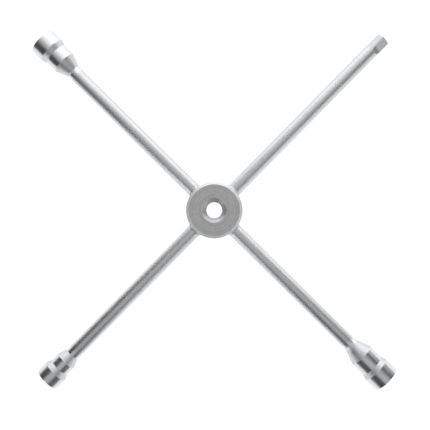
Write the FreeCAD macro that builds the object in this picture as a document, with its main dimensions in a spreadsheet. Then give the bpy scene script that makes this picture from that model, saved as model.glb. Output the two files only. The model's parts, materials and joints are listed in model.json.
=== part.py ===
import FreeCAD, Part
import math
import os

import Sketcher

# Four-way lug wrench for car wheel nuts: three hexagon sockets and one square drive on a disc hub.
#
# Row frame, in millimetres: the origin is the centre of the hub, +Z runs along the hub's bore, and the four
# arms lie in the XY plane. The square drive points along +X, the 19 mm socket along +Y, the 17 mm socket
# along -X and the 21 mm socket along -Y.
#
# Every arm is built along its own +X and turned into place, so a length along an arm is a distance from the
# hub's axis.

FULL_TURN = 360
ORIGIN = -1  # the sketcher's own number for its horizontal axis, which starts at the origin
VERTICAL_AXIS = -2  # and for its vertical one
START, END, CENTRE = 1, 2, 3  # the sketcher's own numbers for a curve's points

SOCKET_ANGLES = {17: 180, 19: 90, 21: 270}  # wrench size: direction of its arm, in degrees from +X
ARMS_ON_HUB = 4
FLATS_ON_DRIVE = 4
HEXAGON_SIDES = 6

DIMENSIONS = {
    # hub: a turned disc
    "hub_diameter": 64,
    "hub_thickness": 26,
    "hub_edge_chamfer": 2.8,
    "hub_bore_diameter": 18,
    "hub_mouth_diameter": 28,
    "hub_seat_bottom": 12.5,
    # bars: bright drawn round bar, pressed into the hub's seats and welded round the foot
    "bar_diameter": 16.3,
    "bar_end_chamfer": 0.8,
    "spigot_diameter": 10,
    "spigot_length": 12,
    "spigot_chamfer": 0.6,
    "hub_weld_leg": 1.7,
    # sockets: size across flats, then the stepped outside from the mouth back to the neck
    "flats_17": 17.2,
    "mouth_at_17": 272.5,
    "head_diameter_17": 29.6,
    "head_length_17": 14.3,
    "step_length_17": 6.3,
    "shank_diameter_17": 24.3,
    "shank_length_17": 10.6,
    "cone_length_17": 10,
    "cone_root_radius_17": 1.5,
    "hexagon_depth_17": 16,
    "relief_diameter_17": 14.5,
    "flats_19": 19.2,
    "mouth_at_19": 276.5,
    "head_diameter_19": 33,
    "head_length_19": 16,
    "step_length_19": 6.3,
    "shank_diameter_19": 28.4,
    "shank_length_19": 13.7,
    "cone_length_19": 14.9,
    "cone_root_radius_19": 8,
    "hexagon_depth_19": 18,
    "relief_diameter_19": 16.5,
    "flats_21": 21.2,
    "mouth_at_21": 276,
    "head_diameter_21": 33.4,
    "head_length_21": 17.2,
    "step_length_21": 5.8,
    "shank_diameter_21": 29.2,
    "shank_length_21": 17,
    "cone_length_21": 17.3,
    "cone_root_radius_21": 30,
    "hexagon_depth_21": 19,
    "relief_diameter_21": 18.5,
    "neck_length": 6,
    "relief_depth": 5,
    "drill_point": 4,
    "mouth_lead_in": 0.7,
    "head_edge": 0.9,
    "step_edge_radius": 0.5,
    # drive: half-inch male square milled on the end of its bar
    "drive_tip_at": 275,
    "drive_across_flats": 12.65,
    "drive_flat_length": 12.8,
    "drive_cutter_radius": 16,
    "drive_tip_chamfer": 0.5,
    "drive_twist": 32,
    # detent: ball, spring and the staked hole that holds them
    "ball_from_tip": 6.5,
    "ball_diameter": 5,
    "ball_stands_out": 1.2,
    "ball_hole_diameter": 5.16,
    "ball_hole_depth": 9,
    "ball_lip_diameter": 4.42,
    "ball_lip_height": 0.8,
    "spring_wire": 0.55,
    "spring_diameter": 3.6,
    "spring_turns": 5,
    "spring_gap": 0.03,
}

ALONG_X = FreeCAD.Vector(1, 0, 0)
ALONG_Z = FreeCAD.Vector(0, 0, 1)


class Size:
    """A number from the sheet that also carries the expression which binds a feature to it."""

    def __init__(self, value, text):
        self.value = value
        self.text = text

    def _joined(self, other, sign, value):
        text = other.text if isinstance(other, Size) else str(other)
        return Size(value, f"({self.text} {sign} {text})")

    def __add__(self, other):
        return self._joined(other, "+", self.value + number(other))

    def __sub__(self, other):
        return self._joined(other, "-", self.value - number(other))

    def __mul__(self, other):
        return self._joined(other, "*", self.value * number(other))

    def __truediv__(self, other):
        return self._joined(other, "/", self.value / number(other))

    def __neg__(self):
        return Size(-self.value, f"(-{self.text})")


def number(size):
    return size.value if isinstance(size, Size) else size


def root_of(size):
    return Size(math.sqrt(size.value), f"sqrt({size.text})")


def is_zero(size):
    return not isinstance(size, Size) and size == 0


# ---------------------------------------------------------------- document, sheet and bodies


def make_sheet(doc):
    """Writes the driving dimensions as plain numbers with aliases, and returns the sizes by name."""
    sheet = doc.addObject("Spreadsheet::Sheet", "Dimensions")
    for row, (alias, value) in enumerate(DIMENSIONS.items(), start=1):
        sheet.set(f"A{row}", alias)
        sheet.set(f"B{row}", str(value))
        sheet.setAlias(f"B{row}", alias)
    doc.recompute()
    return {alias: Size(float(sheet.get(alias)), f"Dimensions.{alias}") for alias in DIMENSIONS}


def new_body(doc, label, placement=None):
    body = doc.addObject("PartDesign::Body", label)
    body.Label = label
    if placement is not None:
        body.Placement = placement
    return body


def origin_feature(body, role):
    return next(feature for feature in body.Origin.OriginFeatures if feature.Role == role)


def new_sketch(body, name, plane, offset=None):
    """A sketch on one of the body's own origin planes, lifted off it along the plane's normal by offset."""
    sketch = body.newObject("Sketcher::SketchObject", name)
    sketch.AttachmentSupport = (origin_feature(body, plane), [""])
    sketch.MapMode = "FlatFace"
    if offset is not None:
        sketch.setExpression("AttachmentOffset.Base.z", offset.text)
    return sketch


def add_feature(body, kind, name, sketch):
    feature = body.newObject(kind, name)
    feature.Profile = sketch
    return feature


def turned(angle, about):
    return FreeCAD.Placement(FreeCAD.Vector(), FreeCAD.Rotation(about, angle))


# ---------------------------------------------------------------- sketch geometry


def vector(point):
    return FreeCAD.Vector(number(point[0]), number(point[1]), 0)


def bind(sketch, constraint, size):
    index = sketch.addConstraint(constraint)
    if isinstance(size, Size):
        sketch.setExpression(f"Constraints[{index}]", size.text)


def fix_distance(sketch, kind, curve, end, size):
    """Ties one coordinate of a point to a size. A coordinate of 0 ties the point to an axis instead."""
    if is_zero(size):
        axis = VERTICAL_AXIS if kind == "DistanceX" else ORIGIN
        sketch.addConstraint(Sketcher.Constraint("PointOnObject", curve, end, axis))
        return
    bind(sketch, Sketcher.Constraint(kind, ORIGIN, START, curve, end, number(size)), size)


def fix_point(sketch, curve, end, point):
    fix_distance(sketch, "DistanceX", curve, end, point[0])
    fix_distance(sketch, "DistanceY", curve, end, point[1])


def join(sketch, curves):
    """Joins the end of each curve to the start of the next, and the last to the first."""
    for curve, following in zip(curves, curves[1:] + curves[:1]):
        sketch.addConstraint(Sketcher.Constraint("Coincident", curve, END, following, START))


def draw_lines(sketch, points):
    return [
        sketch.addGeometry(Part.LineSegment(vector(a), vector(b)), False) for a, b in zip(points, points[1:])
    ]


def draw_outline(sketch, points):
    """A closed outline of straight lines whose corners are tied to the sizes given."""
    lines = draw_lines(sketch, points + points[:1])
    join(sketch, lines)
    for line, point in zip(lines, points):
        fix_point(sketch, line, START, point)


def draw_hollow_outline(sketch, points, centre, radius):
    """Straight lines through the points, closed from the last to the first by a hollow quarter circle."""
    lines = draw_lines(sketch, points)
    circle = Part.Circle(vector(centre), ALONG_Z, radius.value)
    arc = sketch.addGeometry(Part.ArcOfCircle(circle, math.pi, 1.5 * math.pi), False)
    join(sketch, lines + [arc])
    for line, point in zip(lines, points):
        fix_point(sketch, line, START, point)
    fix_point(sketch, lines[-1], END, points[-1])
    bind(sketch, Sketcher.Constraint("Radius", arc, radius.value), radius)


def draw_circle(sketch, diameter, centre=(0, 0)):
    circle = sketch.addGeometry(Part.Circle(vector(centre), ALONG_Z, diameter.value / 2), False)
    if all(is_zero(coordinate) for coordinate in centre):
        sketch.addConstraint(Sketcher.Constraint("Coincident", circle, CENTRE, ORIGIN, START))
    else:
        fix_point(sketch, circle, CENTRE, centre)
    bind(sketch, Sketcher.Constraint("Diameter", circle, diameter.value), diameter)


def draw_hexagon(sketch, flats):
    """A regular hexagon about the sketch's origin, with two level sides, by its size across flats."""
    corner_radius = flats.value / math.sqrt(3)
    angles = [math.radians(FULL_TURN / HEXAGON_SIDES * corner) for corner in range(HEXAGON_SIDES)]
    corners = [(corner_radius * math.cos(angle), corner_radius * math.sin(angle)) for angle in angles]
    sides = draw_lines(sketch, corners + corners[:1])
    rim = sketch.addGeometry(Part.Circle(FreeCAD.Vector(), ALONG_Z, corner_radius), True)
    sketch.addConstraint(Sketcher.Constraint("Coincident", rim, CENTRE, ORIGIN, START))
    join(sketch, sides)
    for side in sides:
        sketch.addConstraint(Sketcher.Constraint("PointOnObject", side, START, rim))
    for side in sides[1:]:
        sketch.addConstraint(Sketcher.Constraint("Equal", sides[0], side))
    upper = sides[1]
    sketch.addConstraint(Sketcher.Constraint("Horizontal", upper))
    fix_distance(sketch, "DistanceY", upper, START, flats / 2)


# ---------------------------------------------------------------- features


def turn(body, name, points, kind="PartDesign::Revolution"):
    """Turns a straight-sided outline a full turn about the arm's own axis."""
    sketch = new_sketch(body, name + "_outline", "XZ_Plane")
    draw_outline(sketch, points)
    return turn_sketch(body, name, sketch, (sketch, ["H_Axis"]), kind)


def turn_sketch(body, name, sketch, axis, kind="PartDesign::Revolution"):
    feature = add_feature(body, kind, name, sketch)
    feature.ReferenceAxis = axis
    feature.Angle = FULL_TURN
    return feature


def round_edges(shape, radius):
    """Names of a shape's full circles of one radius."""
    return [
        f"Edge{place}"
        for place, edge in enumerate(shape.Edges, start=1)
        if isinstance(edge.Curve, Part.Circle) and edge.Closed and math.isclose(edge.Curve.Radius, radius)
    ]


def dress(body, kind, name, base, edges, size_name, size):
    """A fillet or chamfer on the named edges of base."""
    feature = body.newObject(kind, name)
    feature.Base = (base, edges)
    feature.setExpression(size_name, size.text)
    return feature


def must_cut(doc, feature, before):
    """A cut that points the wrong way removes nothing and raises no error, so the volume is compared."""
    doc.recompute()
    if not feature.Shape.Volume < before.Shape.Volume:
        raise RuntimeError(f"{feature.Name} removed nothing")
    return feature


def repeat_round(doc, body, name, feature, axis, count):
    """Repeats a cut evenly round one of the body's own axes."""
    pattern = body.newObject("PartDesign::PolarPattern", name)
    pattern.Originals = [feature]
    pattern.Axis = (origin_feature(body, axis), [""])
    pattern.Angle = FULL_TURN
    pattern.Occurrences = count
    body.Tip = pattern
    return must_cut(doc, pattern, feature)


# ---------------------------------------------------------------- hub


def make_hub(doc, d):
    """The disc: one turned blank, chamfered rim, bore countersunk on each face, and a seat for each bar."""
    body = new_body(doc, "hub_disc")
    outline = new_sketch(body, "hub_blank_outline", "XY_Plane")
    draw_circle(outline, d["hub_diameter"])
    blank = add_feature(body, "PartDesign::Pad", "hub_blank", outline)
    blank.setExpression("Length", d["hub_thickness"].text)
    blank.Midplane = True
    doc.recompute()

    bore_outline = new_sketch(body, "hub_bore_outline", "XY_Plane")
    draw_circle(bore_outline, d["hub_bore_diameter"])
    bore = add_feature(body, "PartDesign::Pocket", "hub_bore", bore_outline)
    bore.Type = "ThroughAll"
    bore.Midplane = True
    must_cut(doc, bore, blank)

    rim = round_edges(bore.Shape, d["hub_diameter"].value / 2)
    chamfers = dress(
        body, "PartDesign::Chamfer", "hub_rim_chamfers", bore, rim, "Size", d["hub_edge_chamfer"]
    )
    must_cut(doc, chamfers, bore)

    mouth_depth = (d["hub_mouth_diameter"] - d["hub_bore_diameter"]) / 2
    bore_ends = round_edges(chamfers.Shape, d["hub_bore_diameter"].value / 2)
    mouths = dress(body, "PartDesign::Chamfer", "hub_bore_mouths", chamfers, bore_ends, "Size", mouth_depth)
    must_cut(doc, mouths, chamfers)

    seat_outline = new_sketch(body, "hub_seat_outline", "YZ_Plane", d["hub_seat_bottom"])
    draw_circle(seat_outline, d["bar_diameter"])
    seat = add_feature(body, "PartDesign::Pocket", "hub_seat", seat_outline)
    seat.Type = "Length"
    seat.setExpression("Length", d["hub_diameter"].text)
    seat.Reversed = True
    must_cut(doc, seat, mouths)
    repeat_round(doc, body, "hub_seats", seat, "Z_Axis", ARMS_ON_HUB)
    return body


def make_hub_weld(doc, d, name, placement):
    """A fillet weld round the foot of one arm, hollow in section, trimmed by the hub's curved side."""
    body = new_body(doc, f"hub_weld_{name}", placement)
    hub = d["hub_diameter"] / 2
    bar = d["bar_diameter"] / 2
    leg = d["hub_weld_leg"]
    buried = hub - leg
    # the side of the hub curves away beside the bar, so the weld's root starts inside it
    outline = new_sketch(body, f"hub_weld_{name}_outline", "XZ_Plane")
    corners = [(hub + leg, bar), (buried, bar), (buried, bar + leg), (hub, bar + leg)]
    draw_hollow_outline(outline, corners, (hub + leg, bar + leg), leg)
    ring = turn_sketch(body, f"hub_weld_{name}_ring", outline, (outline, ["H_Axis"]))
    doc.recompute()

    hub_side = new_sketch(body, f"hub_weld_{name}_trim_outline", "XY_Plane")
    draw_circle(hub_side, d["hub_diameter"])
    trim = add_feature(body, "PartDesign::Pocket", f"hub_weld_{name}_trim", hub_side)
    trim.Type = "ThroughAll"
    trim.Midplane = True
    must_cut(doc, trim, ring)
    return body


# ---------------------------------------------------------------- socket arms


def seam_at(d, size):
    """Where a socket's neck meets the shoulder of its bar."""
    lengths = ("head_length", "step_length", "shank_length", "cone_length")
    place = d[f"mouth_at_{size}"]
    for length in lengths:
        place = place - d[f"{length}_{size}"]
    return place - d["neck_length"]


def make_bar(doc, d, size, placement):
    """A round bar: one end sits in the hub, the other has a turned spigot that fits up inside the socket."""
    body = new_body(doc, f"bar_{size}", placement)
    radius = d["bar_diameter"] / 2
    spigot = d["spigot_diameter"] / 2
    seam = seam_at(d, size)
    tip = seam + d["spigot_length"]
    start = d["hub_seat_bottom"]
    outline = [
        (start, 0),
        (start, radius - d["bar_end_chamfer"]),
        (start + d["bar_end_chamfer"], radius),
        (seam, radius),
        (seam, spigot),
        (tip - d["spigot_chamfer"], spigot),
        (tip, spigot - d["spigot_chamfer"]),
        (tip, 0),
    ]
    turn(body, f"bar_{size}_turned", outline)
    return body


def turn_socket_outside(doc, body, d, size):
    """The neck, cone, shank, step and head, turned from the solid and eased at every step."""
    mouth = d[f"mouth_at_{size}"]
    head = d[f"head_diameter_{size}"] / 2
    shank = d[f"shank_diameter_{size}"] / 2
    neck = d["bar_diameter"] / 2
    seam = seam_at(d, size)
    head_back = mouth - d[f"head_length_{size}"]
    shank_front = head_back - d[f"step_length_{size}"]
    shank_back = shank_front - d[f"shank_length_{size}"]
    outline = [
        (seam, 0),
        (seam, neck),
        (seam + d["neck_length"], neck),
        (shank_back, shank),
        (shank_front, shank),
        (head_back, head),
        (mouth - d["head_edge"], head),
        (mouth, head - d["head_edge"]),
        (mouth, 0),
    ]
    blank = turn(body, f"socket_{size}_turned", outline)
    doc.recompute()

    # the neck has two round edges of one size: the seam, and the root of the cone, which is past its middle
    neck_middle = (seam + d["neck_length"] / 2).value
    cone_root = [
        edge
        for edge in round_edges(blank.Shape, neck.value)
        if blank.Shape.getElement(edge).CenterOfMass.x > neck_middle
    ]
    blended = dress(
        body,
        "PartDesign::Fillet",
        f"socket_{size}_cone_root",
        blank,
        cone_root,
        "Radius",
        d[f"cone_root_radius_{size}"],
    )
    doc.recompute()

    steps = round_edges(blended.Shape, shank.value) + round_edges(blended.Shape, head.value)
    eased = dress(
        body, "PartDesign::Fillet", f"socket_{size}_steps", blended, steps, "Radius", d["step_edge_radius"]
    )
    doc.recompute()
    return eased


def make_socket(doc, d, size, placement):
    """A stepped socket: hexagon over a drilled relief at the mouth, and a bore for the spigot behind."""
    body = new_body(doc, f"socket_{size}", placement)
    outside = turn_socket_outside(doc, body, d, size)
    mouth = d[f"mouth_at_{size}"]
    flats = d[f"flats_{size}"]

    hexagon_outline = new_sketch(body, f"socket_{size}_hexagon_outline", "YZ_Plane", mouth)
    draw_hexagon(hexagon_outline, flats)
    hexagon = add_feature(body, "PartDesign::Pocket", f"socket_{size}_hexagon", hexagon_outline)
    hexagon.Type = "Length"
    hexagon.setExpression("Length", d[f"hexagon_depth_{size}"].text)
    must_cut(doc, hexagon, outside)

    relief = d[f"relief_diameter_{size}"] / 2
    relief_end = mouth - d[f"hexagon_depth_{size}"] - d["relief_depth"]
    relief_outline = [(relief_end - d["drill_point"], 0), (relief_end, relief), (mouth, relief), (mouth, 0)]
    drilled = turn(body, f"socket_{size}_relief", relief_outline, "PartDesign::Groove")
    must_cut(doc, drilled, hexagon)

    lead_in = flats / math.sqrt(3) + d["mouth_lead_in"]
    lead_end = mouth - (lead_in - flats / 2)
    lead_outline = [(lead_end, 0), (lead_end, flats / 2), (mouth, lead_in), (mouth, 0)]
    opened = turn(body, f"socket_{size}_lead_in", lead_outline, "PartDesign::Groove")
    must_cut(doc, opened, drilled)

    seam = seam_at(d, size)
    spigot = d["spigot_diameter"] / 2
    spigot_end = seam + d["spigot_length"]
    bore_outline = [(seam, 0), (seam, spigot), (spigot_end, spigot), (spigot_end, 0)]
    bored = turn(body, f"socket_{size}_spigot_bore", bore_outline, "PartDesign::Groove")
    must_cut(doc, bored, opened)
    return body


# ---------------------------------------------------------------- drive arm


def ball_at(d):
    return d["drive_tip_at"] - d["ball_from_tip"]


def make_drive_bar(doc, d, placement):
    """The fourth bar: a half-inch square milled on its end, with a staked hole for the ball in one flat."""
    body = new_body(doc, "drive_bar", placement)
    radius = d["bar_diameter"] / 2
    start = d["hub_seat_bottom"]
    tip = d["drive_tip_at"]
    blank_outline = [
        (start, 0),
        (start, radius - d["bar_end_chamfer"]),
        (start + d["bar_end_chamfer"], radius),
        (tip - d["drive_tip_chamfer"], radius),
        (tip, radius - d["drive_tip_chamfer"]),
        (tip, 0),
    ]
    blank = turn(body, "drive_blank", blank_outline)
    doc.recompute()

    # one pass of a round cutter leaves the flat and the curved run-out behind it
    flat = d["drive_across_flats"] / 2
    cutter = d["drive_cutter_radius"]
    flat_start = tip - d["drive_flat_length"]
    beyond = tip + d["drive_tip_chamfer"]
    clear = flat + cutter
    flat_outline = new_sketch(body, "drive_flat_outline", "XZ_Plane")
    corners = [(flat_start, flat), (beyond, flat), (beyond, clear), (flat_start - cutter, clear)]
    draw_hollow_outline(flat_outline, corners, (flat_start, clear), cutter)
    milled = add_feature(body, "PartDesign::Pocket", "drive_flat", flat_outline)
    milled.Type = "ThroughAll"
    milled.Midplane = True
    must_cut(doc, milled, blank)
    flats = repeat_round(doc, body, "drive_flats", milled, "X_Axis", FLATS_ON_DRIVE)

    centre = ball_at(d)
    hole = centre + d["ball_hole_diameter"] / 2
    lip = centre + d["ball_lip_diameter"] / 2
    surface = -flat
    bottom = d["ball_hole_depth"] - flat
    hole_outline = new_sketch(body, "ball_hole_outline", "XY_Plane")
    corners = [(centre, surface), (lip, surface), (hole, d["ball_lip_height"] - flat), (hole, bottom)]
    draw_outline(hole_outline, corners + [(centre, bottom)])
    middle = hole_outline.addGeometry(
        Part.LineSegment(vector((centre, surface)), vector((centre, bottom))), True
    )
    last_line = len(corners)
    hole_outline.addConstraint(Sketcher.Constraint("Coincident", middle, START, 0, START))
    hole_outline.addConstraint(Sketcher.Constraint("Coincident", middle, END, last_line, START))
    staked = turn_sketch(body, "ball_hole", hole_outline, (hole_outline, ["Axis0"]), "PartDesign::Groove")
    must_cut(doc, staked, flats)
    return body


# ---------------------------------------------------------------- detent


def ball_depth(d):
    """How far the ball's centre lies below the flat."""
    return d["ball_diameter"] / 2 - d["ball_stands_out"]


def into_flat(d, placement, depth=0.0):
    """A frame on the ball hole's axis, with its +Y pointing into the flat from the depth given."""
    below = depth - d["drive_across_flats"].value / 2
    return placement * FreeCAD.Placement(FreeCAD.Vector(ball_at(d).value, below, 0), FreeCAD.Rotation())


def make_ball(doc, d, placement):
    """The hardened ball, held in its hole by the staked lip."""
    ball = doc.addObject("Part::Sphere", "detent_ball")
    ball.Label = "detent_ball"
    ball.setExpression("Radius", (d["ball_diameter"] / 2).text)
    ball.Placement = into_flat(d, placement, ball_depth(d).value)
    return ball


def make_spring(doc, d, placement):
    """The compression spring: its first coil carries the ball and its last sits on the hole's bottom."""
    body = new_body(doc, "detent_spring", into_flat(d, placement))
    coil = d["spring_diameter"] / 2
    wire = d["spring_wire"] / 2
    reach = d["ball_diameter"] / 2 + wire + d["spring_gap"]
    first = ball_depth(d) + root_of(reach * reach - coil * coil)
    last = d["ball_hole_depth"] - wire - d["spring_gap"]
    section = new_sketch(body, "spring_wire_outline", "XY_Plane")
    draw_circle(section, d["spring_wire"], (coil, first))
    helix = add_feature(body, "PartDesign::AdditiveHelix", "spring_helix", section)
    helix.ReferenceAxis = (section, ["V_Axis"])
    helix.Mode = "height-turns-angle"
    helix.setExpression("Height", (last - first).text)
    helix.setExpression("Turns", d["spring_turns"].text)
    return body


# ---------------------------------------------------------------- assembly and files


def check(doc, parts):
    for item in doc.Objects:
        if "Invalid" in item.State or "Error" in item.State:
            raise RuntimeError(f"{item.Label} is in state {item.State}")
    for part in parts:
        shape = part.Shape
        if shape.isNull() or not shape.isValid() or len(shape.Solids) != 1:
            raise RuntimeError(f"{part.Label} has no single valid solid")


def main():
    doc = FreeCAD.newDocument("LugWrench")
    d = make_sheet(doc)
    parts = [make_hub(doc, d)]
    for size, angle in SOCKET_ANGLES.items():
        arm = turned(angle, ALONG_Z)
        parts.append(make_bar(doc, d, size, arm))
        parts.append(make_socket(doc, d, size, arm))
        parts.append(make_hub_weld(doc, d, size, arm))
    drive = turned(d["drive_twist"].value, ALONG_X)
    parts.append(make_drive_bar(doc, d, drive))
    parts.append(make_hub_weld(doc, d, "drive", FreeCAD.Placement()))
    parts.append(make_ball(doc, d, drive))
    parts.append(make_spring(doc, d, drive))
    doc.recompute()
    check(doc, parts)
    os.makedirs("parts", exist_ok=True)
    for part in parts:
        part.Shape.exportStep(os.path.join("parts", part.Label + ".step"))


main()
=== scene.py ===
import json
import math

import bmesh
import bpy
from mathutils import Matrix, Vector


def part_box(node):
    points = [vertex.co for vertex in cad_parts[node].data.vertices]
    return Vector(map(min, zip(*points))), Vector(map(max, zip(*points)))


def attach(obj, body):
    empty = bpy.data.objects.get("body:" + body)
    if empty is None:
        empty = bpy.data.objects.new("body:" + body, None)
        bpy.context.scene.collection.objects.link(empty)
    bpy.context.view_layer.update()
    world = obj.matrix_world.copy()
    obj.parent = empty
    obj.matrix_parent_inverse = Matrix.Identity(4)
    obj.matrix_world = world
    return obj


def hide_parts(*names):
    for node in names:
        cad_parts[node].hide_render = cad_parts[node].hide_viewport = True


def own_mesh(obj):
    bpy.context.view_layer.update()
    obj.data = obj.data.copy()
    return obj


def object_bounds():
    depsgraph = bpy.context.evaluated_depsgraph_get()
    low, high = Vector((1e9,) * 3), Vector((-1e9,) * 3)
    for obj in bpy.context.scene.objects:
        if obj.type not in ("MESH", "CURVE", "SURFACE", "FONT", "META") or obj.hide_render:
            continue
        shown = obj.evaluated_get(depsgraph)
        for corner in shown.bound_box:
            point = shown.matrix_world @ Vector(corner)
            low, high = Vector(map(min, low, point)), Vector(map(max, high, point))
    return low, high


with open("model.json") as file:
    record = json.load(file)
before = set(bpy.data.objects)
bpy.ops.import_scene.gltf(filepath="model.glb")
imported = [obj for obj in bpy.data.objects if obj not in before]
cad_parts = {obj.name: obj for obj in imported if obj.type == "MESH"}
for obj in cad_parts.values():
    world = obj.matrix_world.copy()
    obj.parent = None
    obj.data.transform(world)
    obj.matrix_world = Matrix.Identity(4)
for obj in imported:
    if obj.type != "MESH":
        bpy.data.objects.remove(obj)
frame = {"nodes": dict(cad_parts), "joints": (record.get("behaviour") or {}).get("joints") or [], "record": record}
cad_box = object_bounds()

# ---------------------------------------------------------------- hub
# The hub is a disc turned from steel bar, faced on a lathe, bored and countersunk from both sides, then
# plated with satin chrome. The lathe leaves fine rings on its faces, which the plating softens.

MM = 0.001
GRAIN = 0.45 * MM  # the blasted grain under satin chrome, drawn about three times its real size
GRAIN_HEIGHT = 0.005 * MM
CLOUD = 18 * MM  # slow drifts in the plating's thickness
CLOUD_DRIFT = 0.025  # how far a drift takes the roughness either way
CLOUD_LOW, CLOUD_HIGH = 0.3, 0.7  # the noise between these goes from smoothest to roughest
RING_PITCH = 3 * MM  # real turning marks are 0.2 mm apart; drawn coarser, so that they show
RING_HEIGHT = 0.02 * MM
RING_STREAK = 0.09  # how much a ring lightens or darkens the chrome
PATCH = 4 * MM  # faint patches where the chrome took unevenly on the wide flat faces
PATCH_TINT = 0.05  # how much a patch lightens or darkens the chrome
TINT_LOW, TINT_HIGH = 0.35, 0.65  # the noise between these goes from darkest to lightest
FACED_ROUGHNESS = 0.42
CHAMFER_ROUGHER = 0.15  # the chamfering tool leaves a coarser surface than the facing tool
CHAMFER_LEVEL, FACE_LEVEL = 0.9, 0.98  # how squarely a surface faces up, from chamfer to flat face
COLOUR_A, COLOUR_B, COLOUR_OUT = 6, 7, 2  # a mix node's sockets when it mixes colours


def srgb(code):
    """An sRGB hex colour as linear red, green and blue, with full alpha."""
    channels = [int(code[place : place + 2], 16) / 255 for place in (1, 3, 5)]
    linear = [c / 12.92 if c <= 0.04045 else ((c + 0.055) / 1.055) ** 2.4 for c in channels]
    return (*linear, 1.0)


def add_node(tree, kind, settings=None, inputs=None):
    """Adds a node with its settings, and links or sets its inputs."""
    node = tree.nodes.new(kind)
    for name, value in (settings or {}).items():
        setattr(node, name, value)
    for name, value in (inputs or {}).items():
        if isinstance(value, bpy.types.NodeSocket):
            tree.links.new(value, node.inputs[name])
        else:
            node.inputs[name].default_value = value
    return node


def start_metal(name, roughness):
    """A metal with the plating's grain: the material, its tree, shader, position socket and grain bump."""
    material = bpy.data.materials.new(name)
    material.use_nodes = True
    tree = material.node_tree
    shader = tree.nodes["Principled BSDF"]
    shader.inputs["Metallic"].default_value = 1.0
    place = add_node(tree, "ShaderNodeTexCoord").outputs["Object"]
    grain = add_node(
        tree,
        "ShaderNodeTexNoise",
        inputs={"Vector": place, "Scale": 1 / GRAIN, "Detail": 3.0, "Roughness": 0.6},
    )
    cloud = add_node(
        tree, "ShaderNodeTexNoise", inputs={"Vector": place, "Scale": 1 / CLOUD, "Detail": 2.0}
    )
    spread = add_node(
        tree,
        "ShaderNodeMapRange",
        inputs={
            "Value": cloud.outputs["Fac"],
            "From Min": CLOUD_LOW,
            "From Max": CLOUD_HIGH,
            "To Min": roughness - CLOUD_DRIFT,
            "To Max": roughness + CLOUD_DRIFT,
        },
    )
    tree.links.new(spread.outputs["Result"], shader.inputs["Roughness"])
    bump = add_node(
        tree,
        "ShaderNodeBump",
        inputs={"Height": grain.outputs["Fac"], "Distance": GRAIN_HEIGHT, "Strength": 1.0},
    )
    return material, tree, shader, place, bump


def dress(node, material):
    """Gives a CAD node its finish."""
    mesh = frame["nodes"][node].data
    mesh.materials.clear()
    mesh.materials.append(material)


# Painted shade and painted sheen: a darker chrome for the hub's flat faces, and a paler one for its sloping
# surfaces and the sockets' outsides.
PAINTED_SHADE_CHROME = srgb("#c5c5c6")
PAINTED_SHEEN_CHROME = srgb("#dddee0")

# Satin chrome over faced steel: an even mid grey with faint rings and patches, and a softer chamfer. The flat
# faces are painted darker as painted shade, and the chamfer and other sloping surfaces paler as painted sheen.
hub_chrome, tree, shader, place, grain_bump = start_metal("satin_chrome_faced", FACED_ROUGHNESS)
flat_place = add_node(
    tree, "ShaderNodeVectorMath", {"operation": "MULTIPLY"}, {0: place, 1: (1.0, 1.0, 0.0)}
)
from_axis = add_node(
    tree, "ShaderNodeVectorMath", {"operation": "LENGTH"}, {0: flat_place.outputs["Vector"]}
)
rings = add_node(
    tree,
    "ShaderNodeTexNoise",
    {"noise_dimensions": "1D"},
    {"W": from_axis.outputs["Value"], "Scale": 1 / RING_PITCH, "Detail": 4.0, "Roughness": 0.7},
)
ring_bump = add_node(
    tree,
    "ShaderNodeBump",
    inputs={
        "Height": rings.outputs["Fac"],
        "Distance": RING_HEIGHT,
        "Strength": 1.0,
        "Normal": grain_bump.outputs["Normal"],
    },
)
tree.links.new(ring_bump.outputs["Normal"], shader.inputs["Normal"])
upright = add_node(
    tree,
    "ShaderNodeVectorMath",
    {"operation": "DOT_PRODUCT"},
    {0: add_node(tree, "ShaderNodeTexCoord").outputs["Normal"], 1: (0.0, 0.0, 1.0)},
)
level = add_node(tree, "ShaderNodeMath", {"operation": "ABSOLUTE"}, {0: upright.outputs["Value"]})
on_face = add_node(
    tree,
    "ShaderNodeMapRange",
    inputs={
        "Value": level.outputs[0],
        "From Min": CHAMFER_LEVEL,
        "From Max": FACE_LEVEL,
        "To Min": 0.0,
        "To Max": 1.0,
    },
)
# Painted light and shade by facing: the flat faces take the darker chrome as painted shade, and every sloping
# surface, the chamfer first, takes the paler chrome as painted sheen.
chamfer_sheen_face_shade = add_node(
    tree,
    "ShaderNodeMix",
    {"data_type": "RGBA"},
    {"Factor": on_face.outputs["Result"], COLOUR_A: PAINTED_SHEEN_CHROME, COLOUR_B: PAINTED_SHADE_CHROME},
)
satin = shader.inputs["Roughness"].links[0].from_socket
chamfered = add_node(
    tree,
    "ShaderNodeMapRange",
    inputs={"Value": on_face.outputs["Result"], "To Min": CHAMFER_ROUGHER, "To Max": 0.0},
)
rougher = add_node(tree, "ShaderNodeMath", {"operation": "ADD"}, {0: satin, 1: chamfered.outputs["Result"]})
tree.links.new(rougher.outputs[0], shader.inputs["Roughness"])
streaks = add_node(
    tree,
    "ShaderNodeMapRange",
    inputs={
        "Value": rings.outputs["Fac"],
        "From Min": TINT_LOW,
        "From Max": TINT_HIGH,
        "To Min": 1 - RING_STREAK,
        "To Max": 1 + RING_STREAK,
    },
)
streaked = add_node(
    tree,
    "ShaderNodeVectorMath",
    {"operation": "SCALE"},
    {0: chamfer_sheen_face_shade.outputs[COLOUR_OUT], "Scale": streaks.outputs["Result"]},
)
patches = add_node(
    tree, "ShaderNodeTexNoise", inputs={"Vector": place, "Scale": 1 / PATCH, "Detail": 3.0, "Roughness": 0.6}
)
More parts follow.
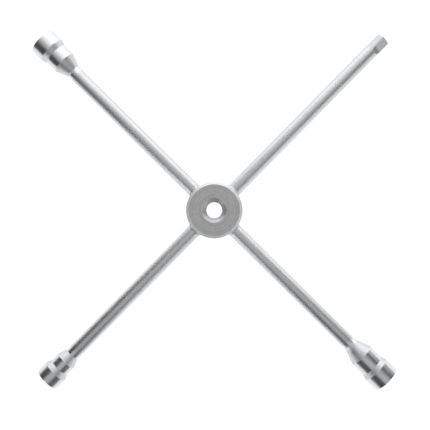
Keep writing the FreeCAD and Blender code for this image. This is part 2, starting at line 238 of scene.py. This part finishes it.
patchiness = add_node(
    tree,
    "ShaderNodeMapRange",
    inputs={
        "Value": patches.outputs["Fac"],
        "From Min": TINT_LOW,
        "From Max": TINT_HIGH,
        "To Min": 1 - PATCH_TINT,
        "To Max": 1 + PATCH_TINT,
    },
)
patched = add_node(
    tree,
    "ShaderNodeVectorMath",
    {"operation": "SCALE"},
    {0: streaked.outputs["Vector"], "Scale": patchiness.outputs["Result"]},
)
tree.links.new(patched.outputs["Vector"], shader.inputs["Base Color"])
dress("hub_disc", hub_chrome)

# ---------------------------------------------------------------- bars
# Four bright drawn steel bars carry the ends. Drawing through a die leaves faint lines along them, which the
# satin chrome all but hides.

ARM_DIRECTIONS = {
    "17": Vector((-1, 0, 0)),
    "19": Vector((0, 1, 0)),
    "21": Vector((0, -1, 0)),
    "drive": Vector((1, 0, 0)),
}
CHROME = srgb("#d0d1d3")
DRAWN_ROUGHNESS = 0.38
DRAW_LINE = 0.7 * MM  # from line to line round the bar, drawn coarser than real
DRAW_LENGTH = 40 * MM  # how far a line runs before it fades
DRAW_HEIGHT = 0.003 * MM  # too shallow under the chrome to be seen


# Satin chrome over drawn steel: soft, smooth bands of light along the bar.
def drawn_bar(name, direction):
    """Satin chrome on drawn bar, with the die's lines running along the arm."""
    material, tree, shader, place, grain_bump = start_metal(name, DRAWN_ROUGHNESS)
    shader.inputs["Base Color"].default_value = CHROME
    stretch = Vector([1 / DRAW_LENGTH if part else 1 / DRAW_LINE for part in direction])
    stretched = add_node(
        tree, "ShaderNodeVectorMath", {"operation": "MULTIPLY"}, {0: place, 1: stretch}
    ).outputs["Vector"]
    lines = add_node(
        tree, "ShaderNodeTexNoise", inputs={"Vector": stretched, "Scale": 1.0, "Detail": 3.0}
    )
    bump = add_node(
        tree,
        "ShaderNodeBump",
        inputs={
            "Height": lines.outputs["Fac"],
            "Distance": DRAW_HEIGHT,
            "Strength": 1.0,
            "Normal": grain_bump.outputs["Normal"],
        },
    )
    tree.links.new(bump.outputs["Normal"], shader.inputs["Normal"])
    return material


for size in ("17", "19", "21"):
    dress(f"bar_{size}", drawn_bar(f"satin_chrome_drawn_{size}", ARM_DIRECTIONS[size]))

# ---------------------------------------------------------------- drive arm
# The fourth bar has a half-inch square milled on its end. The cutter leaves lines across the four flats and
# a curved run-out behind them, and the satin chrome over the lines is a little rougher.

MILLED_LENGTH = 20 * MM  # the square and its run-out, measured from the tip
MILLED_START = 1 * MM  # the stretch over which the cutter's marks begin
MILLED_ROUGHER = 0.04
CUTTER_PITCH = 0.9 * MM  # real feed marks are 0.3 mm apart; drawn coarser
CUTTER_HEIGHT = 0.006 * MM  # too shallow under the chrome to be seen
WAVE_FACTOR = 20  # the wave texture turns by this much for each unit of its scaled position

# Satin chrome over milled steel: flats that each catch one even tone, a touch duller than the round bar.
drive_chrome = drawn_bar("satin_chrome_milled", ARM_DIRECTIONS["drive"])
tree = drive_chrome.node_tree
shader = tree.nodes["Principled BSDF"]
place = add_node(tree, "ShaderNodeTexCoord").outputs["Object"]
along = add_node(
    tree, "ShaderNodeVectorMath", {"operation": "DOT_PRODUCT"}, {0: place, 1: ARM_DIRECTIONS["drive"]}
).outputs["Value"]
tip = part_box("drive_bar")[1].x
milled = add_node(
    tree,
    "ShaderNodeMapRange",
    inputs={
        "Value": along,
        "From Min": tip - MILLED_LENGTH,
        "From Max": tip - MILLED_LENGTH + MILLED_START,
        "To Min": 0.0,
        "To Max": 1.0,
    },
).outputs["Result"]
satin = shader.inputs["Roughness"].links[0].from_socket
rougher = add_node(
    tree, "ShaderNodeMath", {"operation": "MULTIPLY_ADD"}, {0: milled, 1: MILLED_ROUGHER, 2: satin}
)
tree.links.new(rougher.outputs[0], shader.inputs["Roughness"])
cutter_lines = add_node(
    tree,
    "ShaderNodeTexWave",
    {"wave_type": "BANDS", "bands_direction": "X"},
    {"Vector": place, "Scale": math.tau / (WAVE_FACTOR * CUTTER_PITCH), "Distortion": 0.4, "Detail": 1.0},
)
cut_bump = add_node(
    tree,
    "ShaderNodeBump",
    inputs={
        "Height": cutter_lines.outputs["Fac"],
        "Distance": CUTTER_HEIGHT,
        "Strength": milled,
        "Normal": shader.inputs["Normal"].links[0].from_socket,
    },
)
tree.links.new(cut_bump.outputs["Normal"], shader.inputs["Normal"])
dress("drive_bar", drive_chrome)

# ---------------------------------------------------------------- hub welds
# Each bar is welded to the hub all the way round its foot. The bead is a small hollow fillet laid in
# overlapping ripples, and the chrome goes over it, so it shines like the rest but is less even.

WELD_STEPS_ROUND = 240
WELD_STEPS_ACROSS = 10
WELD_RIPPLES = 44  # round one bar
WELD_RIPPLE_DEPTH = 0.07  # as a share of the bead's leg
WELD_ROUGHNESS = 0.46

# Satin chrome over a weld: the same grey as the bar, broken into short glints by the ripples.
weld_chrome, tree, shader, place, grain_bump = start_metal("satin_chrome_over_weld", WELD_ROUGHNESS)
shader.inputs["Base Color"].default_value = CHROME
tree.links.new(grain_bump.outputs["Normal"], shader.inputs["Normal"])


def weld_bead(name, arm, direction):
    """A closed ring of weld between the hub's curved side and the bar, rippled round the bar."""
    hub_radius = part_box("hub_disc")[1].x
    bar_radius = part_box("bar_17")[1].z
    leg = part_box(f"hub_weld_{arm}")[1].z - bar_radius
    bead_end = hub_radius + leg
    across = Vector((-direction.y, direction.x, 0))
    up = Vector((0, 0, 1))
    bead = bmesh.new()
    rings = []
    for step in range(WELD_STEPS_ROUND):
        turn = math.tau * step / WELD_STEPS_ROUND
        phase = (WELD_RIPPLES * turn / math.tau) % 1.0
        ripple = WELD_RIPPLE_DEPTH * (1 - (2 * phase - 1) ** 2)
        sideways = across * math.cos(turn) + up * math.sin(turn)
        toe = bar_radius + leg
        hub_at_toe = math.sqrt(hub_radius**2 - (toe * math.cos(turn)) ** 2)
        hub_at_root = math.sqrt(hub_radius**2 - (bar_radius * math.cos(turn)) ** 2)
        ring = []
        for part in range(WELD_STEPS_ACROSS + 1):
            angle = math.pi * (1 + 0.5 * part / WELD_STEPS_ACROSS)
            swell = ripple * math.sin(math.pi * part / WELD_STEPS_ACROSS)
            far = hub_at_toe + (bead_end - hub_at_toe) * (1 + math.cos(angle)) + leg * swell
            out = toe + leg * math.sin(angle) + leg * swell
            ring.append(bead.verts.new(direction * far + sideways * out))
        ring.append(bead.verts.new(direction * hub_at_root + sideways * bar_radius))
        rings.append(ring)
    for ring, following in zip(rings, rings[1:] + rings[:1]):
        for a in range(len(ring)):
            b = (a + 1) % len(ring)
            bead.faces.new((ring[a], ring[b], following[b], following[a]))
    bmesh.ops.recalc_face_normals(bead, faces=bead.faces)
    mesh = bpy.data.meshes.new(name)
    bead.to_mesh(mesh)
    bead.free()
    mesh.shade_smooth()
    piece = bpy.data.objects.new(name, mesh)
    bpy.context.scene.collection.objects.link(piece)
    mesh.materials.append(weld_chrome)
    return piece


for arm, direction in ARM_DIRECTIONS.items():
    piece = weld_bead(f"weld_bead_{arm}", arm, direction)
    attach(piece, "wrench")
    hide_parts(f"hub_weld_{arm}")

# ---------------------------------------------------------------- sockets
# The sockets are turned from alloy steel, broached to a hexagon and hardened, then chromed. Nuts rub the
# mouth bright, and inside, where the plating is thin, the steel is duller; the bore is also painted darker, as
# painted shade.

TOOL_PITCH = 1.0 * MM  # turning marks round the socket, drawn coarser than the real 0.15 mm
TOOL_HEIGHT = 0.003 * MM  # too shallow under the chrome to be seen
TURNED_ROUGHNESS = 0.32
RUBBED_LENGTH = 2.5 * MM
RUBBED_SMOOTHER = 0.07
TAPER_ROUGHER = 0.13  # the tapers stay as forged under the plating
TAPER_STARTS, TAPER_FULL = -0.15, -0.28  # how far a surface leans back along the arm
BORE_INSIDE, BORE_OUTSIDE = 0.2 * MM, 0.6 * MM  # the mouth's edge fades from dull to bright over these
INWARD_FULL, INWARD_ENDS = 0.3, 0.6  # how far a surface faces away from the arm's axis
INSIDE_ROUGHER = 0.18
# Painted shade: a dark grey laid over the bore, darker than the bare steel would be.
BORE_PAINTED_SHADE = srgb("#77787a")


# Satin chrome over turned steel: crisp dark and light bands, softer on the tapers, and a dark bore. The tapers
# are painted darker as painted shade, the rest of the outside paler as painted sheen, and the bore dark grey as
# painted shade.
def turned_socket(name, direction, mouth, bore_radius):
    """Satin chrome on turned steel, rubbed at the mouth, rougher inside, and painted darker in the bore as painted
    shade.
    """
    material, tree, shader, place, grain_bump = start_metal(name, TURNED_ROUGHNESS)
    along = add_node(
        tree, "ShaderNodeVectorMath", {"operation": "DOT_PRODUCT"}, {0: place, 1: direction}
    ).outputs["Value"]
    on_axis = add_node(
        tree, "ShaderNodeVectorMath", {"operation": "SCALE"}, {0: direction, "Scale": along}
    ).outputs["Vector"]
    off_axis = add_node(
        tree, "ShaderNodeVectorMath", {"operation": "SUBTRACT"}, {0: place, 1: on_axis}
    ).outputs["Vector"]
    out = add_node(tree, "ShaderNodeVectorMath", {"operation": "LENGTH"}, {0: off_axis}).outputs["Value"]
    away = add_node(
        tree, "ShaderNodeVectorMath", {"operation": "NORMALIZE"}, {0: off_axis}
    ).outputs["Vector"]
    facing = add_node(tree, "ShaderNodeTexCoord").outputs["Normal"]
    marks = add_node(
        tree,
        "ShaderNodeTexNoise",
        {"noise_dimensions": "1D"},
        {"W": along, "Scale": 1 / TOOL_PITCH, "Detail": 3.0, "Roughness": 0.6},
    )
    bump = add_node(
        tree,
        "ShaderNodeBump",
        inputs={
            "Height": marks.outputs["Fac"],
            "Distance": TOOL_HEIGHT,
            "Strength": 1.0,
            "Normal": grain_bump.outputs["Normal"],
        },
    )
    tree.links.new(bump.outputs["Normal"], shader.inputs["Normal"])
    outward = add_node(
        tree, "ShaderNodeVectorMath", {"operation": "DOT_PRODUCT"}, {0: facing, 1: away}
    ).outputs["Value"]
    near_axis = add_node(
        tree,
        "ShaderNodeMapRange",
        inputs={
            "Value": out,
            "From Min": bore_radius - BORE_INSIDE,
            "From Max": bore_radius + BORE_OUTSIDE,
            "To Min": 1.0,
            "To Max": 0.0,
        },
    ).outputs["Result"]
    inward = add_node(
        tree,
        "ShaderNodeMapRange",
        inputs={
            "Value": outward,
            "From Min": INWARD_FULL,
            "From Max": INWARD_ENDS,
            "To Min": 1.0,
            "To Max": 0.0,
        },
    ).outputs["Result"]
    inside = add_node(
        tree, "ShaderNodeMath", {"operation": "MULTIPLY"}, {0: near_axis, 1: inward}
    ).outputs[0]
    rubbed = add_node(
        tree,
        "ShaderNodeMapRange",
        inputs={
            "Value": along,
            "From Min": mouth - RUBBED_LENGTH,
            "From Max": mouth,
            "To Min": 0.0,
            "To Max": RUBBED_SMOOTHER,
        },
    ).outputs["Result"]
    lean = add_node(
        tree, "ShaderNodeVectorMath", {"operation": "DOT_PRODUCT"}, {0: facing, 1: direction}
    ).outputs["Value"]
    on_taper = add_node(
        tree,
        "ShaderNodeMapRange",
        inputs={
            "Value": lean,
            "From Min": TAPER_STARTS,
            "From Max": TAPER_FULL,
            "To Min": 0.0,
            "To Max": 1.0,
        },
    ).outputs["Result"]
    # Painted light and shade by lean: surfaces leaning back towards the hub take the plain chrome as painted
    # shade, and the rest take the paler chrome as painted sheen.
    turned_sheen_and_shade = add_node(
        tree,
        "ShaderNodeMix",
        {"data_type": "RGBA"},
        {"Factor": on_taper, COLOUR_A: PAINTED_SHEEN_CHROME, COLOUR_B: CHROME},
    ).outputs[COLOUR_OUT]
    # Painted shade in the bore: surfaces near the axis that face inward take the dark grey.
    colour = add_node(
        tree,
        "ShaderNodeMix",
        {"data_type": "RGBA"},
        {"Factor": inside, COLOUR_A: turned_sheen_and_shade, COLOUR_B: BORE_PAINTED_SHADE},
    ).outputs[COLOUR_OUT]
    tree.links.new(colour, shader.inputs["Base Color"])
    satin = shader.inputs["Roughness"].links[0].from_socket
    polished = add_node(tree, "ShaderNodeMath", {"operation": "SUBTRACT"}, {0: satin, 1: rubbed}).outputs[0]
    duller = add_node(
        tree, "ShaderNodeMath", {"operation": "MULTIPLY_ADD"}, {0: inside, 1: INSIDE_ROUGHER, 2: polished}
    ).outputs[0]
    uneven = add_node(
        tree, "ShaderNodeMath", {"operation": "MULTIPLY_ADD"}, {0: on_taper, 1: TAPER_ROUGHER, 2: duller}
    ).outputs[0]
    tree.links.new(uneven, shader.inputs["Roughness"])
    return material


openings = {entry["name"]: entry["box_m"] for entry in frame["record"]["physics"]["openings"]}
for size in ("17", "19", "21"):
    direction = ARM_DIRECTIONS[size]
    low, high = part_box(f"socket_{size}")
    mouth = max(abs(corner.dot(direction)) for corner in (low, high))
    flat_radius = openings[f"socket_{size}_hexagon_upright"][1][2]
    corner_radius = flat_radius * 2 / math.sqrt(3)
    dress(f"socket_{size}", turned_socket(f"satin_chrome_turned_{size}", direction, mouth, corner_radius))

# ---------------------------------------------------------------- detent
# A hardened ball stands out of one flat of the square and holds a loose socket on. A small spring wound
# from music wire pushes it out, and in the real tool shortens as the ball is pressed in.

SPRING_TURNS = 5
SPRING_STEPS = 36  # for each turn
WIRE_STEPS = 10  # round the wire
WIRE = 0.55 * MM
COIL_DIAMETER = 3.6 * MM
BALL_ROUGHNESS = 0.10
BALL_GRAIN = 0.15  # the share of the plating's grain that a polished ball still shows
BEARING_STEEL = srgb("#c9c8c6")
WIRE_ROUGHNESS = 0.28
MUSIC_WIRE = srgb("#8f8e8c")

# Polished bearing steel: nearly sharp reflections, so the ball stands out from the satin round it.
ball_steel, tree, shader, place, grain_bump = start_metal("bearing_steel_polished", BALL_ROUGHNESS)
shader.inputs["Base Color"].default_value = BEARING_STEEL
grain_bump.inputs["Strength"].default_value = BALL_GRAIN
tree.links.new(grain_bump.outputs["Normal"], shader.inputs["Normal"])
dress("detent_ball", ball_steel)

# Drawn music wire: a darker and slightly shinier grey than the chrome.
wire_steel, tree, shader, place, grain_bump = start_metal("music_wire_drawn", WIRE_ROUGHNESS)
shader.inputs["Base Color"].default_value = MUSIC_WIRE
tree.links.new(grain_bump.outputs["Normal"], shader.inputs["Normal"])

press = next(joint for joint in frame["joints"] if joint["name"] == "detent_press")
inward = Vector(press["axis"]).normalized()
ball_low, ball_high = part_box("detent_ball")
ball_centre = (ball_low + ball_high) / 2
spring_corners = frame["nodes"]["detent_spring"].data.vertices
depths = [(vertex.co - ball_centre).dot(inward) for vertex in spring_corners]
first_coil = min(depths) + WIRE / 2
last_coil = max(depths) - WIRE / 2
side = Vector((1, 0, 0))
other_side = inward.cross(side)
coil = bmesh.new()
rings = []
steps = SPRING_TURNS * SPRING_STEPS
for step in range(steps + 1):
    turn = math.tau * step / SPRING_STEPS
    outward = side * math.cos(turn) + other_side * math.sin(turn)
    centre = ball_centre + inward * (first_coil + (last_coil - first_coil) * step / steps)
    centre = centre + outward * COIL_DIAMETER / 2
    ring = []
    for part in range(WIRE_STEPS):
        round_wire = math.tau * part / WIRE_STEPS
        offset = outward * math.cos(round_wire) + inward * math.sin(round_wire)
        ring.append(coil.verts.new(centre + offset * WIRE / 2))
    rings.append(ring)
for ring, following in zip(rings, rings[1:]):
    for a in range(WIRE_STEPS):
        b = (a + 1) % WIRE_STEPS
        coil.faces.new((ring[a], ring[b], following[b], following[a]))
coil.faces.new(rings[0])
coil.faces.new(rings[-1])
bmesh.ops.recalc_face_normals(coil, faces=coil.faces)
mesh = bpy.data.meshes.new("detent_coil")
coil.to_mesh(mesh)
coil.free()
mesh.shade_smooth()
mesh.materials.append(wire_steel)
detent_coil = bpy.data.objects.new("detent_coil", mesh)
bpy.context.scene.collection.objects.link(detent_coil)
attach(detent_coil, "wrench")
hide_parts("detent_spring")
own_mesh(detent_coil)

# ---------------------------------------------------------------- studio
# The wrench lies on a lit white table inside a round backdrop, under five softboxes and a nearly black dome,
# whose reflection makes the dark stripes. The camera looks straight down, turned so that the arms make an X.

TABLE_SIZE = 60
TABLE_GLOW = 1.08
TABLE_BASE = srgb("#404040")
TABLE_LIGHT = srgb("#ffffff")
TABLE_ROUGHNESS = 0.6
DOME = srgb("#0d0d0d")
WALL_DISTANCE = 29
WALL_HEIGHT = 30
WALL_STEPS = 96
CAMERA_HEIGHT = 0.95
CAMERA_LENS = 69.5
CAMERA_TURN = -45.42  # degrees about the hub's axis
CAMERA_SHIFT = (0.0016, -0.0112)  # as a share of the frame's width
SOFTBOXES = {
    # name: bearing and angle from straight up in degrees, distance, width, height, brightness
    "key_softbox": (38, 70, 1.5, 3.8, 1.5, 1.6),
    "inner_strip": (51, 33, 1.5, 1.25, 0.3, 0.85),
    "fill_softbox": (278, 83, 1.5, 1.35, 2.2, 0.95),
    "side_strip": (180, 73, 1.5, 0.2, 1.25, 3.7),
    "overhead_panel": (30, 4, 1.5, 1.95, 2.4, 0.585),
}

bpy.context.scene.view_settings.view_transform = "Standard"

low, high = cad_box
table_bmesh = bmesh.new()
half = TABLE_SIZE / 2
corners = [(-half, -half), (half, -half), (half, half), (-half, half)]
table_bmesh.faces.new([table_bmesh.verts.new((x, y, low.z)) for x, y in corners])
table_mesh = bpy.data.meshes.new("table")
table_bmesh.to_mesh(table_mesh)
table_bmesh.free()
table = bpy.data.objects.new("table", table_mesh)
bpy.context.scene.collection.objects.link(table)

# Moulded acrylic lit from behind: plain glowing white. Its base is dark so that it throws back little of the
# softboxes' light, which would whiten every edge of the metal.
lit_acrylic = bpy.data.materials.new("lit_white_acrylic")
lit_acrylic.use_nodes = True
acrylic_shader = lit_acrylic.node_tree.nodes["Principled BSDF"]
acrylic_shader.inputs["Base Color"].default_value = TABLE_BASE
acrylic_shader.inputs["Roughness"].default_value = TABLE_ROUGHNESS
acrylic_shader.inputs["Emission Color"].default_value = TABLE_LIGHT
acrylic_shader.inputs["Emission Strength"].default_value = TABLE_GLOW
table_mesh.materials.append(lit_acrylic)

wall_bmesh = bmesh.new()
foot, top = [], []
for step in range(WALL_STEPS):
    turn = math.tau * step / WALL_STEPS
    x, y = WALL_DISTANCE * math.cos(turn), WALL_DISTANCE * math.sin(turn)
    foot.append(wall_bmesh.verts.new((x, y, low.z)))
    top.append(wall_bmesh.verts.new((x, y, WALL_HEIGHT)))
for a in range(WALL_STEPS):
    b = (a + 1) % WALL_STEPS
    wall_bmesh.faces.new((foot[a], foot[b], top[b], top[a]))
wall_mesh = bpy.data.meshes.new("backdrop")
wall_bmesh.to_mesh(wall_mesh)
wall_bmesh.free()
backdrop = bpy.data.objects.new("backdrop", wall_mesh)
bpy.context.scene.collection.objects.link(backdrop)
# Hidden from reflections and from the table, so that the metal still sees the dark dome behind it.
backdrop.visible_glossy = False
backdrop.visible_diffuse = False
wall_mesh.materials.append(lit_acrylic)

dome = bpy.data.worlds.new("studio_dome")
dome.use_nodes = True
dome.node_tree.nodes["Background"].inputs["Color"].default_value = DOME
bpy.context.scene.world = dome

for name, (bearing, from_up, distance, width, height, brightness) in SOFTBOXES.items():
    panel = bpy.data.lights.new(name, "AREA")
    panel.shape = "RECTANGLE"
    panel.size = width
    panel.size_y = height
    panel.energy = brightness * math.pi * width * height
    lamp = bpy.data.objects.new(name, panel)
    bearing, from_up = math.radians(bearing), math.radians(from_up)
    sideways = Vector((math.cos(bearing), math.sin(bearing), 0)) * math.sin(from_up)
    lamp.location = (sideways + Vector((0, 0, math.cos(from_up)))) * distance
    lamp.rotation_euler = lamp.location.to_track_quat("Z", "Y").to_euler()
    bpy.context.scene.collection.objects.link(lamp)

camera = bpy.data.cameras.new("camera")
camera.lens = CAMERA_LENS
camera.shift_x, camera.shift_y = CAMERA_SHIFT
camera_object = bpy.data.objects.new("camera", camera)
camera_object.matrix_world = Matrix.Translation((0, 0, CAMERA_HEIGHT)) @ Matrix.Rotation(
    math.radians(CAMERA_TURN), 4, "Z"
)
bpy.context.scene.collection.objects.link(camera_object)
bpy.context.scene.camera = camera_object
